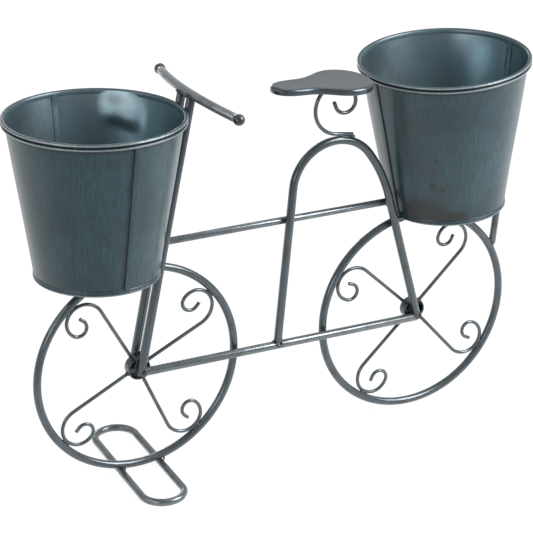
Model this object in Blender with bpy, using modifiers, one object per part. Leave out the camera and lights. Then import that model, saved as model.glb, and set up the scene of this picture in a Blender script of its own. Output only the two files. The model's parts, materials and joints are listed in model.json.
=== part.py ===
"""Bicycle-shaped planter: a welded frame of steel rod and tube on two ring wheels, with a tapered
sheet-steel pot standing on each wheel. Metres, +Z up. The bicycle faces -X and its left side is -Y.
The origin is on the surface that the planter stands on, at the middle of its footprint box."""

import math

import bmesh
import bpy
from mathutils import Matrix, Vector

# Stock that the maker cuts from, and the gap left between pieces that touch
ring_rod = 0.0066
frame_tube = 0.007
top_rod = 0.006
loop_rod = 0.006
strut_rod = 0.006
bar_tube = 0.0072
spoke_wire = 0.003
scroll_wire = 0.0032
sheet = 0.0008
clearance = 0.0003

# Wheels, measured to the middle of the ring's rod
ring_radius = 0.087
wheelbase = 0.2572
hub_radius = 0.0097
hub_wall = 0.0014
front_spokes_deg = (24.5, 118.2, 205.4, 293.6)
rear_spokes_deg = (42.9, 135.6, 222.4, 310.6)
curl_radius = 0.0155
curl_radius_shares = (1.1, 0.97, 0.87, 0.46)
curl_turns_deg = (55.0, 78.0, 75.0, 175.0)
curl_tail = 0.004

# Fork and handlebar, from the front axle
fork_half_gap = 0.008
fork_rake_deg = 12.12
fork_foot_drop = 0.004
bar_height = 0.227
bar_half_length = 0.06
bar_sweep = 0.0105
bar_droop = 0.004
bar_turn_deg = 4.67
bar_roll_deg = 2.58
ball_radius = 0.0046
ball_neck_radius = 0.003

# Frame rails, as drops below or heights above the axles
lower_tube_front_drop = 0.0015
lower_tube_rear_drop = 0.0045
top_rod_front_height = 0.1053
top_rod_rear_height = 0.1044

# Arch under the saddle, in the plane of the left fork leg
arch_crown_radius = 0.0386
arch_shoulder_radius = 0.126
arch_crown_height = 0.1317
arch_front_lean_deg = 6.05
arch_rear_lean_deg = 14.63
arch_shoulder_deg = 35.6
arch_foot_inset = 0.0003

# Scroll on the arch, and the saddle pressing on the scroll
scroll_seat_deg = 79.5
scroll_foot = 0.0165
scroll_radius = 0.0222
scroll_radius_shares = (1.0, 0.78, 0.42)
scroll_turns_deg = (134.6, 125.0, 160.0)
scroll_tail = 0.005
saddle_sheet = 0.001
saddle_skirt = 0.0053
saddle_edge_radius = 0.0024
saddle_nose_reach = 0.0587
saddle_tail_reach = 0.0296
saddle_half_width = 0.0269
saddle_tilt_deg = 3.9
saddle_outline_shares = (
    (0.0, 0.0), (0.015, 0.2), (0.06, 0.36), (0.13, 0.46), (0.22, 0.5), (0.33, 0.515),
    (0.41, 0.58), (0.49, 0.71), (0.57, 0.87), (0.65, 0.975), (0.72, 1.0), (0.79, 0.965),
    (0.86, 0.86), (0.92, 0.69), (0.965, 0.46), (0.99, 0.22), (1.0, 0.0),
)

# Foot loop under the front wheel
loop_half_run = 0.0505
loop_end_radius = 0.0176
loop_turn_deg = 2.64
loop_offset = 0.0052
loop_shift = 0.001

# Pots: both are alike
pot_height = 0.1298
lip_radius = 0.0717
hem_radius = 0.05
rim_overhang = 0.0022
rim_height = 0.0056
rim_bead_radius = 0.00125
hem_overhang = 0.0012
hem_height = 0.004
floor_recess = 0.003
seam_width = 0.005
seam_thickness = 0.0006
front_pot_lean_deg = 2.05
front_pot_side_lean_deg = 1.99
front_pot_side_shift = 0.0048
front_pot_seam_deg = -86.0
rear_pot_lean_deg = -2.29
rear_pot_side_lean_deg = 0.19
rear_pot_side_shift = 0.0015
rear_pot_seam_deg = -175.0
rear_pot_weld_gap = 0.003

# How finely round shapes are divided
ring_steps = 60
rod_sides = 8
tube_bevel_steps = 4
wire_bevel_steps = 2
pot_steps = 48
hub_steps = 28
ball_steps = 16
bend_step_deg = 17.0
wide_bend_step_deg = 9.0

# Derived places, measured from the front axle
ring_outer = ring_radius + ring_rod / 2
frame_y = -fork_half_gap
hub_length = 2 * (fork_half_gap - frame_tube / 2 - clearance)
fork_slope = math.tan(math.radians(fork_rake_deg))
fork_half_width = frame_tube / 2 / math.cos(math.radians(fork_rake_deg))
loop_turn = math.radians(loop_turn_deg)
loop_crossing = loop_end_radius / math.cos(loop_turn) - abs(loop_shift - loop_offset * math.tan(loop_turn))
loop_centre_drop = math.sqrt((ring_outer + clearance + loop_rod / 2) ** 2 - loop_crossing ** 2)
front_axle_height = loop_centre_drop + loop_rod / 2
rear_axle = Vector((wheelbase, 0, ring_outer - front_axle_height))
top_rod_y = frame_y + frame_tube / 2 + clearance + top_rod / 2
body_top_radius = lip_radius - rim_overhang
body_foot_radius = hem_radius - hem_overhang
body_slope = (body_top_radius - body_foot_radius) / pot_height

parts = bpy.data.collections.new("bicycle_planter")
cutters = bpy.data.collections.new("cutters")


def clear_scene():
    for old in list(bpy.data.objects):
        bpy.data.objects.remove(old)
    bpy.context.scene.collection.children.link(parts)
    bpy.context.scene.collection.children.link(cutters)


def painted_steel(name, colour, roughness, metallic):
    material = bpy.data.materials.new(name)
    material.use_nodes = True
    shader = material.node_tree.nodes["Principled BSDF"]
    shader.inputs["Base Color"].default_value = (*colour, 1)
    shader.inputs["Roughness"].default_value = roughness
    shader.inputs["Metallic"].default_value = metallic
    material.diffuse_color = (*colour, 1)
    return material


def place(thing, finish, parent, location=(0, 0, 0), rotation=(0, 0, 0)):
    """Links a piece into the planter, with its finish, on the frame or pot that carries it."""
    parts.objects.link(thing)
    thing.data.materials.append(finish)
    thing.parent = parent
    thing.location = location
    thing.rotation_euler = rotation
    return thing


def empty(name, location, rotation=(0, 0, 0), parent=None):
    thing = bpy.data.objects.new(name, None)
    parts.objects.link(thing)
    thing.location = location
    thing.rotation_euler = rotation
    thing.parent = parent
    return thing


def rod_curve(name, points, diameter, bevel_steps, closed=False):
    """A rod or tube along the points."""
    curve = bpy.data.curves.new(name, "CURVE")
    curve.dimensions = "3D"
    curve.bevel_depth = diameter / 2
    curve.bevel_resolution = bevel_steps
    curve.use_fill_caps = not closed
    spline = curve.splines.new("POLY")
    spline.points.add(len(points) - 1)
    for slot, point in zip(spline.points, points):
        slot.co = (*point, 1)
    spline.use_cyclic_u = closed
    spline.use_smooth = True
    return bpy.data.objects.new(name, curve)


def mesh_copy(thing):
    """A closed mesh of a curve object that isn't linked yet, which it replaces."""
    bpy.context.scene.collection.objects.link(thing)
    graph = bpy.context.evaluated_depsgraph_get()
    mesh = bpy.data.meshes.new_from_object(thing.evaluated_get(graph))
    welded = bmesh.new()
    welded.from_mesh(mesh)
    bmesh.ops.remove_doubles(welded, verts=welded.verts, dist=clearance / 100)
    welded.to_mesh(mesh)
    welded.free()
    name = thing.name
    bpy.data.objects.remove(thing)
    solid = bpy.data.objects.new(name, mesh)
    solid.name = name
    return solid


def cut(piece, cutter):
    """Takes the cutter's shape, placed on the same parent, out of the piece."""
    cutters.objects.link(cutter)
    cutter.parent = piece.parent
    cutter.hide_render = True
    cutter.display_type = "WIRE"
    difference = piece.modifiers.new(cutter.name, "BOOLEAN")
    difference.operation = "DIFFERENCE"
    difference.solver = "EXACT"
    difference.object = cutter


def turned(name, profile, steps, sweep_deg=360.0):
    """A turned shape: the profile's (radius, height) points run down its outer side."""
    mesh = bpy.data.meshes.new(name)
    mesh.from_pydata(
        [(radius, 0, height) for radius, height in profile],
        [(i, i + 1) for i in range(len(profile) - 1)],
        [],
    )
    thing = bpy.data.objects.new(name, mesh)
    screw = thing.modifiers.new("turn", "SCREW")
    screw.angle = math.radians(sweep_deg)
    screw.steps = steps
    screw.render_steps = steps
    screw.use_merge_vertices = True
    screw.merge_threshold = clearance / 100
    screw.use_smooth_shade = True
    return thing


def block(name, size):
    mesh = bpy.data.meshes.new(name)
    box = bmesh.new()
    bmesh.ops.create_cube(box, size=1)
    bmesh.ops.transform(box, matrix=Matrix.Diagonal((*size, 1)), verts=box.verts)
    box.to_mesh(mesh)
    box.free()
    return bpy.data.objects.new(name, mesh)


def wire_path(first_run, radii, turns_deg, last_run, step_deg):
    """Points in a plane of a wire that sets out along +X and bends to its left, run by run."""
    spot = Vector((first_run, 0))
    points = [Vector((0, 0)), spot.copy()]
    heading = 0.0
    for radius, turn_deg in zip(radii, turns_deg):
        steps = max(2, round(abs(turn_deg) / step_deg))
        bend = math.radians(turn_deg) / steps
        for _ in range(steps):
            chord = 2 * radius * math.sin(bend / 2)
            spot = spot + chord * Vector((math.cos(heading + bend / 2), math.sin(heading + bend / 2)))
            heading += bend
            points.append(spot.copy())
    points.append(spot + last_run * Vector((math.cos(heading), math.sin(heading))))
    return points


def arc(centre, radius, start_deg, end_deg, step_deg):
    steps = max(2, round(abs(end_deg - start_deg) / step_deg))
    angles = [math.radians(start_deg + (end_deg - start_deg) * i / steps) for i in range(steps + 1)]
    return [(centre[0] + radius * math.cos(a), centre[1] + radius * math.sin(a)) for a in angles]


def fork_x(height):
    """Where the middle line of the fork legs lies at a height over the front axle."""
    return fork_slope * height


def lower_tube_z(x):
    rear_z = rear_axle.z - lower_tube_rear_drop
    return -lower_tube_front_drop + (rear_z + lower_tube_front_drop) * x / wheelbase


def top_rod_z(x):
    rear_z = rear_axle.z + top_rod_rear_height
    front_x = fork_x(top_rod_front_height)
    share = (x - front_x) / (wheelbase - front_x)
    return top_rod_front_height + (rear_z - top_rod_front_height) * share


def add_wheel(end, axle, spokes_deg, finish, parent):
    """A ring of bent rod, a hub cup and four curled spokes, all in the middle plane."""
    bpy.ops.mesh.primitive_torus_add(
        major_radius=ring_radius, minor_radius=ring_rod / 2,
        major_segments=ring_steps, minor_segments=rod_sides)
    ring = bpy.context.object
    ring.name = end + "_wheel_ring"
    for home in list(ring.users_collection):
        home.objects.unlink(ring)
    ring.data.shade_smooth()
    place(ring, finish, parent, axle, (math.pi / 2, 0, 0))

    half = hub_length / 2
    cup = turned(end + "_hub_cup", [
        (hub_radius - hub_wall, half), (hub_radius, half), (hub_radius, -half), (0, -half),
        (0, -half + hub_wall), (hub_radius - hub_wall, -half + hub_wall), (hub_radius - hub_wall, half),
    ], hub_steps)
    place(cup, finish, parent, axle, (math.pi / 2, 0, 0))

    radii = [share * curl_radius for share in curl_radius_shares]
    reach = ring_radius - ring_rod / 2 - spoke_wire / 2 - clearance
    start = hub_radius + clearance
    shortest, longest = 0.0, reach
    while longest - shortest > clearance / 100:
        run = (shortest + longest) / 2
        path = wire_path(run, radii, curl_turns_deg, curl_tail, bend_step_deg)
        if max(math.hypot(start + x, y) for x, y in path) < reach:
            shortest = run
        else:
            longest = run
    spoke = rod_curve(end + "_spoke", [(start + x, 0, y) for x, y in path], spoke_wire, wire_bevel_steps)
    for number, angle_deg in enumerate(spokes_deg, 1):
        copy = bpy.data.objects.new(f"{end}_spoke_{number}", spoke.data)
        parts.objects.link(copy)
        copy.parent = parent
        copy.location = axle
        copy.rotation_euler = (0, -math.radians(angle_deg), 0)
    spoke.data.materials.append(finish)
    bpy.data.objects.remove(spoke)


def bar_path(end):
    """The handlebar's middle line, which sweeps back and droops a little towards both ends."""
    steps = 10
    shares = [(2 * i / steps - 1) * end / bar_half_length for i in range(steps + 1)]
    return [(bar_sweep * share ** 2, bar_half_length * share, -bar_droop * share ** 2) for share in shares]


def add_fork(finish, parent):
    """Two straight legs astride the front hub, their tops coped to fit under the handlebar."""
    for side, y in (("left", -fork_half_gap), ("right", fork_half_gap)):
        ends = [(fork_x(-fork_foot_drop), y, -fork_foot_drop), (fork_x(bar_height), y, bar_height)]
        leg = mesh_copy(rod_curve("fork_leg_" + side, ends, frame_tube, tube_bevel_steps))
        place(leg, finish, parent)
        grown = bar_tube + 2 * clearance
        cope = mesh_copy(rod_curve("cope_" + side, bar_path(bar_half_length), grown, tube_bevel_steps))
        cope.location = (fork_x(bar_height), 0, bar_height)
        cope.rotation_euler = (math.radians(bar_roll_deg), 0, math.radians(bar_turn_deg))
        cut(leg, cope)


def add_handlebar(finish, parent):
    """A bent tube on top of the fork, with a steel ball on each end."""
    bar = empty("handlebar_seat", (fork_x(bar_height), 0, bar_height),
                (math.radians(bar_roll_deg), 0, math.radians(bar_turn_deg)), parent)
    end = bar_half_length - math.sqrt(ball_radius ** 2 - ball_neck_radius ** 2) - clearance
    place(rod_curve("handlebar", bar_path(end), bar_tube, tube_bevel_steps), finish, bar)

    neck = math.asin(ball_neck_radius / ball_radius)
    count = ball_steps // 2
    angles = [(math.pi - neck) * i / count for i in range(count + 1)]
    profile = [(ball_radius * math.sin(a), ball_radius * math.cos(a)) for a in angles]
    profile.append((0, profile[-1][1]))
    for side, sign in (("left", -1), ("right", 1)):
        ball = turned("handlebar_ball_" + side, profile, ball_steps)
        outward = Vector((2 * bar_sweep, sign * bar_half_length, -2 * bar_droop))
        place(ball, finish, bar, (bar_sweep, sign * bar_half_length, -bar_droop),
              outward.to_track_quat("Z", "Y").to_euler())


def arch_path():
    """The arch's centre line in its own plane, from the rear foot over the crown to the front foot."""
    rear_lean = math.radians(arch_rear_lean_deg)
    front_lean = math.radians(arch_front_lean_deg)
    shoulder = math.radians(arch_shoulder_deg)
    crown_z = rear_axle.z + arch_crown_height
    shift = arch_shoulder_radius - arch_crown_radius
    tube_top = lower_tube_z(wheelbase) + frame_tube / 2 + clearance
    foot_z = tube_top + frame_tube / 2 * math.sin(rear_lean)
    leg_top_z = crown_z - shift * math.sin(shoulder) + arch_shoulder_radius * math.sin(rear_lean)
    foot_x = wheelbase - arch_foot_inset
    leg_top_x = foot_x - (leg_top_z - foot_z) * math.tan(rear_lean)
    crown_x = leg_top_x - arch_shoulder_radius * math.cos(rear_lean) + shift * math.cos(shoulder)
    shoulder_centre = (crown_x - shift * math.cos(shoulder), crown_z - shift * math.sin(shoulder))
    points = [(foot_x, foot_z)]
    points += arc(shoulder_centre, arch_shoulder_radius, arch_rear_lean_deg, arch_shoulder_deg,
                  wide_bend_step_deg / 2)[:-1]
    points += arc((crown_x, crown_z), arch_crown_radius, arch_shoulder_deg, 180 - arch_front_lean_deg,
                  wide_bend_step_deg)
    last_x, last_z = points[-1]
    foot_x = last_x - (last_z - lower_tube_z(last_x)) * math.tan(front_lean)
    foot_z = lower_tube_z(foot_x) + frame_tube / 2 + clearance + frame_tube / 2 * math.sin(front_lean)
    points.append((last_x - (last_z - foot_z) * math.tan(front_lean), foot_z))
    return points, (crown_x, crown_z)


def rear_leg_x(points, z):
    """Where the arch's rear leg lies at a height, on its straight run."""
    (foot_x, foot_z), (top_x, top_z) = points[0], points[1]
    return foot_x + (top_x - foot_x) * (z - foot_z) / (top_z - foot_z)


def add_rails(points, finish, parent):
    """The lower tube, the top rod and the arch that carries the saddle."""
    arch = [(x, frame_y, z) for x, z in points]
    place(rod_curve("saddle_arch", arch, frame_tube, tube_bevel_steps), finish, parent)

    start = fork_x(lower_tube_z(0) + frame_tube / 2) + fork_half_width + clearance
    ends = [(start, frame_y, lower_tube_z(start)), (wheelbase, frame_y, lower_tube_z(wheelbase))]
    place(rod_curve("lower_tube", ends, frame_tube, tube_bevel_steps), finish, parent)

    start = fork_x(top_rod_front_height)
    end = rear_leg_x(points, rear_axle.z + top_rod_rear_height)
    ends = [(start, top_rod_y, top_rod_z(start)), (end, top_rod_y, top_rod_z(end))]
    place(rod_curve("top_rod", ends, top_rod, wire_bevel_steps), finish, parent)


def add_saddle(crown, finish, parent):
    """A wire scroll lying on the arch's crown, and the pressed saddle that it holds up."""
    seat = math.radians(scroll_seat_deg)
    away = arch_crown_radius + frame_tube / 2 + clearance + scroll_wire / 2
    contact = Vector((crown[0] + away * math.cos(seat), frame_y, crown[1] + away * math.sin(seat)))
    radii = [share * scroll_radius for share in scroll_radius_shares]
    path = wire_path(scroll_foot, radii, scroll_turns_deg, scroll_tail, bend_step_deg)
    points = [(scroll_foot / 2 - x, 0, y) for x, y in path]
    lean = math.pi / 2 - seat
    scroll = rod_curve("saddle_scroll", points, scroll_wire, wire_bevel_steps)
    place(scroll, finish, parent, contact, (0, lean, 0))

    turn = Matrix.Rotation(lean, 3, "Y")
    top = max((contact + turn @ Vector(point) for point in points), key=lambda point: point.z)
    tilt = math.radians(saddle_tilt_deg)
    length = saddle_nose_reach + saddle_tail_reach
    half = [(length * along - saddle_nose_reach, saddle_half_width * side)
            for along, side in saddle_outline_shares]
    outline = half + [(x, -y) for x, y in half[-2:0:-1]]
    mesh = bpy.data.meshes.new("saddle_plate")
    pressing = bmesh.new()
    upper = [pressing.verts.new((x, y, 0)) for x, y in outline]
    lower = [pressing.verts.new((x, y, -saddle_skirt)) for x, y in outline]
    face = pressing.faces.new(upper)
    for i in range(len(outline)):
        j = (i + 1) % len(outline)
        pressing.faces.new((upper[i], lower[i], lower[j], upper[j]))
    bmesh.ops.recalc_face_normals(pressing, faces=pressing.faces)
    bmesh.ops.bevel(pressing, geom=list(face.edges), offset=saddle_edge_radius, segments=2,
                    profile=0.5, affect="EDGES")
    pressing.to_mesh(mesh)
    pressing.free()
    mesh.shade_smooth()
    plate = bpy.data.objects.new("saddle_plate", mesh)
    wall = plate.modifiers.new("sheet", "SOLIDIFY")
    wall.thickness = saddle_sheet
    wall.offset = -1
    lift = scroll_wire / 2 + clearance + saddle_sheet
    place(plate, finish, parent, (top.x, frame_y, top.z + lift / math.cos(tilt)), (0, tilt, 0))


def add_foot_loop(finish, parent):
    """A closed loop of rod lying across under the front wheel, so that the planter stands."""
    start = math.pi / 2
    points = []
    steps = round(180 / bend_step_deg)
    for sign in (1, -1):
        for i in range(steps + 1):
            angle = sign * start - start + math.pi * i / steps
            points.append((loop_end_radius * math.cos(angle),
                           sign * loop_half_run + loop_end_radius * math.sin(angle), 0))
    loop = rod_curve("foot_loop", points, loop_rod, wire_bevel_steps, closed=True)
    place(loop, finish, parent, (loop_shift, loop_offset, -loop_centre_drop), (0, 0, -loop_turn))


def body_radius(height):
    """Outer radius of a pot's wall at a height over its hem."""
    return body_foot_radius + body_slope * height


def rim_profile():
    """The rolled rim: two beads one above the other outside the wall, with a groove between them."""
    upper = pot_height - rim_bead_radius
    lower = pot_height - rim_height + rim_bead_radius
    bead_x = lip_radius - rim_bead_radius
    points = [(body_radius(pot_height) + clearance, pot_height)]
    points += arc((bead_x, upper), rim_bead_radius, 90, -50, 35)
    points += arc((bead_x, lower), rim_bead_radius, 50, -90, 35)
    foot = pot_height - rim_height
    points.append((body_radius(foot) + clearance, foot))
    return points + points[:1]


def base_profile():
    """The pressed base: a floor above the hem, and a channel that takes the wall's lower edge."""
    inner = body_foot_radius - sheet / math.cos(math.atan(body_slope)) - clearance
    edge = hem_overhang / 2
    return [
        (0, floor_recess + sheet), (inner, floor_recess + sheet), (inner, sheet),
        (body_radius(hem_height) + clearance, sheet),
        (body_radius(hem_height) + clearance, hem_height),
        (hem_radius - edge / 2, hem_height), (hem_radius, hem_height - edge),
        (hem_radius, edge), (hem_radius - edge, 0),
        (inner - sheet, 0), (inner - sheet, floor_recess), (0, floor_recess),
    ]


def add_pot(end, seat, lean, side_lean, seam_deg, finish, parent):
    """Two half cones of sheet lap-seamed together, a rolled rim, a pressed base, and two seams."""
    pot = empty(end + "_pot_seat", seat, (-side_lean, lean, 0), parent)
    foot = sheet + clearance
    wall_line = [(body_radius(pot_height), pot_height), (body_radius(foot), foot)]
    opening_deg = math.degrees(clearance / body_foot_radius)
    taper = math.atan(body_slope)
    for number in (1, 2):
        angle_deg = seam_deg + 180 * number
        half = turned(f"{end}_pot_shell_{number}", wall_line, pot_steps // 2, 180 - opening_deg)
        wall = half.modifiers.new("sheet", "SOLIDIFY")
        wall.thickness = sheet
        wall.offset = -1
        place(half, finish, pot, rotation=(0, 0, math.radians(angle_deg + opening_deg / 2)))

        low = hem_height + clearance
        high = pot_height - rim_height - clearance
        seam = block(f"{end}_pot_seam_{number}",
                     (seam_thickness, seam_width, (high - low) / math.cos(taper)))
        angle = math.radians(angle_deg)
        out = body_radius((low + high) / 2) + (clearance + seam_thickness / 2) / math.cos(taper)
        corner = seam_thickness / 2 * math.tan(taper)
        seam.data.transform(Matrix.Translation((0, 0, -corner / 2)))
        place(seam, finish, pot, (out * math.cos(angle), out * math.sin(angle), (low + high) / 2),
              (0, taper, angle))

    place(turned(end + "_pot_rim", rim_profile(), pot_steps), finish, pot)
    place(turned(end + "_pot_base", base_profile(), pot_steps), finish, pot)


def hem_height_on_ring(x_from_axle, lean, side_lean, side_shift, radius):
    """How high a leaning pot's middle has to be for one point of its hem to clear the ring."""
    ring_top = math.sqrt(max(ring_outer ** 2 - x_from_axle ** 2, 0))
    across = (side_shift + ring_rod / 2) * math.tan(side_lean)
    return ring_top + clearance + radius * math.sin(abs(lean)) + across


def front_pot_place(lean, side_lean):
    """The front pot stands on its wheel and leans against both fork legs."""
    x = -ring_outer / 2
    z = ring_outer
    inner = body_foot_radius - sheet - clearance
    for _ in range(12):
        limits = []
        for radius, height in rim_profile() + base_profile():
            world_z = z - radius * math.sin(lean) + height * math.cos(lean)
            limits.append(fork_x(world_z) - fork_half_width - clearance
                          - radius * math.cos(lean) - height * math.sin(lean))
        x = min(limits)
        z = max(hem_height_on_ring(x + radius, lean, side_lean, front_pot_side_shift, radius)
                for radius in (inner, hem_radius))
    return Vector((x, -front_pot_side_shift, z))


def rear_pot_place(lean, side_lean, arch_points):
    """The rear pot stands on its wheel, a weld's width behind the arch's rear leg."""
    z = rear_axle.z + ring_outer
    for _ in range(12):
        away = hem_radius + rear_pot_weld_gap + frame_tube / 2
        leg_x = rear_leg_x(arch_points, z)
        x = leg_x + math.sqrt(away ** 2 - (fork_half_gap + rear_pot_side_shift) ** 2)
        inner = body_foot_radius - sheet - clearance
        z = rear_axle.z + max(
            hem_height_on_ring(x - radius - wheelbase, lean, side_lean, rear_pot_side_shift, radius)
            for radius in (inner, hem_radius))
    return Vector((x, rear_pot_side_shift, z))


def add_strut(pot_seat, lean, finish, parent):
    """A straight rod from the outside of the rear ring up to the side of the rear pot's hem."""
    hem_x = pot_seat.x + hem_radius * math.cos(lean)
    hem_z = pot_seat.z + hem_radius * math.sin(abs(lean))
    top_x = hem_x + hem_height * math.sin(abs(lean)) + strut_rod / 2 + clearance
    top = Vector((top_x, 0, hem_z + hem_height))
    foot_z = hem_z / 2 - strut_rod
    foot = Vector((rear_axle.x + math.sqrt(ring_outer ** 2 - (foot_z - rear_axle.z) ** 2), 0, foot_z))
    strut = mesh_copy(rod_curve("rear_pot_strut", [foot, top], strut_rod, wire_bevel_steps))
    place(strut, finish, parent)
    disc = turned("strut_cope", [
        (0, strut_rod), (ring_outer + clearance, strut_rod),
        (ring_outer + clearance, -strut_rod), (0, -strut_rod),
    ], 4 * ring_steps)
    disc.location = rear_axle
    disc.rotation_euler = (math.pi / 2, 0, 0)
    cut(strut, disc)


def footprint_middle(front_seat, rear_seat, front_lean, rear_lean, front_side, rear_side):
    """The middle of the planter's box in X and Y, from the pieces that reach furthest."""
    reach = pot_height - rim_bead_radius
    front_x = front_seat.x + reach * math.sin(front_lean) - lip_radius * math.cos(front_lean)
    rear_x = rear_seat.x + reach * math.sin(rear_lean) + lip_radius * math.cos(rear_lean)
    loop_end = loop_half_run + loop_end_radius + loop_rod / 2
    front_y = front_seat.y + reach * math.sin(front_side)
    rear_y = rear_seat.y + reach * math.sin(rear_side)
    low_y = min(front_y, rear_y) - lip_radius
    high_y = max(rear_y + lip_radius, loop_offset + loop_end)
    return Vector(((front_x + rear_x) / 2, (low_y + high_y) / 2, 0))


def build():
    clear_scene()
    frame_paint = painted_steel("frame_paint", (0.105, 0.125, 0.135), 0.42, 0.55)
    pot_paint = painted_steel("pot_paint", (0.115, 0.145, 0.155), 0.45, 0.5)

    front_lean, rear_lean = math.radians(front_pot_lean_deg), math.radians(rear_pot_lean_deg)
    front_side, rear_side = math.radians(front_pot_side_lean_deg), math.radians(rear_pot_side_lean_deg)
    arch_points, crown = arch_path()
    front_seat = front_pot_place(front_lean, front_side)
    rear_seat = rear_pot_place(rear_lean, rear_side, arch_points)
    middle = footprint_middle(front_seat, rear_seat, front_lean, rear_lean, front_side, rear_side)
    frame = empty("front_axle", Vector((0, 0, front_axle_height)) - middle)

    add_wheel("front", Vector((0, 0, 0)), front_spokes_deg, frame_paint, frame)
    add_wheel("rear", rear_axle, rear_spokes_deg, frame_paint, frame)
    add_fork(frame_paint, frame)
    add_handlebar(frame_paint, frame)
    add_rails(arch_points, frame_paint, frame)
    add_saddle(crown, frame_paint, frame)
    add_foot_loop(frame_paint, frame)
    add_strut(rear_seat, rear_lean, frame_paint, frame)
    add_pot("front", front_seat, front_lean, front_side, front_pot_seam_deg, pot_paint, frame)
    add_pot("rear", rear_seat, rear_lean, rear_side, rear_pot_seam_deg, pot_paint, frame)


build()
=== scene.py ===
"""A bicycle-shaped planter: a welded frame of steel rod and tube on two ring wheels, with a tapered
sheet-steel pot standing on each wheel. Metres, +Z up, front wheel towards -X, camera side -Y."""

import json
from math import asin, atan, atan2, cos, degrees, hypot, pi, radians, sin, sqrt, tan, tau

import bmesh
import bpy
from mathutils import Matrix, Vector


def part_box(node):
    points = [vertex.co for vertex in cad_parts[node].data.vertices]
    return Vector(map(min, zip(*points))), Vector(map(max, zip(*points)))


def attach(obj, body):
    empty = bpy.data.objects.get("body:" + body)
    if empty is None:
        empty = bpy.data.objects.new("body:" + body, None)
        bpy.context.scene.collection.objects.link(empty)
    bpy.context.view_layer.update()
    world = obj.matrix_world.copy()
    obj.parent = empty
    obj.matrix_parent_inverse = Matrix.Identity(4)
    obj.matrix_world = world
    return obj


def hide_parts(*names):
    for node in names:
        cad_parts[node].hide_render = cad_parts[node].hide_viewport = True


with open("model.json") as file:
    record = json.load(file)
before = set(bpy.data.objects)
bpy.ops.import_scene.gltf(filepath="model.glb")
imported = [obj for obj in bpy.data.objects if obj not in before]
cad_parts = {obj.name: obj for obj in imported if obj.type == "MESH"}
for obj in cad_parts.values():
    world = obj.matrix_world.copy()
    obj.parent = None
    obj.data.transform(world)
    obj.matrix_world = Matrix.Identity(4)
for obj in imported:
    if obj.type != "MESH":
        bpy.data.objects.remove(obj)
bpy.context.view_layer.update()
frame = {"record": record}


# Wheel rings: mild-steel rod rolled into a circle and butt-welded shut, one for each wheel.
# The frame's finish starts here: blue-grey enamel sprayed on, then a dark glaze brushed along the
# bars and wiped off, so that it stays in streaks and around the welds.
def linear(code):
    """The linear colour of an sRGB hex value."""
    shades = [int(code[i:i + 2], 16) / 255 for i in (1, 3, 5)]
    return tuple(s / 12.92 if s <= 0.04045 else ((s + 0.055) / 1.055) ** 2.4 for s in shades) + (1.0,)


def add(tree, kind, inputs=None, **settings):
    """Adds a node with its settings. An input takes a value, a link or another node's first output."""
    node = tree.nodes.new(kind)
    for name, value in settings.items():
        setattr(node, name, value)
    for socket, value in (inputs or {}).items():
        if isinstance(value, bpy.types.Node):
            value = value.outputs[0]
        if isinstance(value, bpy.types.NodeSocket):
            tree.links.new(value, node.inputs[socket])
        else:
            node.inputs[socket].default_value = value
    return node


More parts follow.
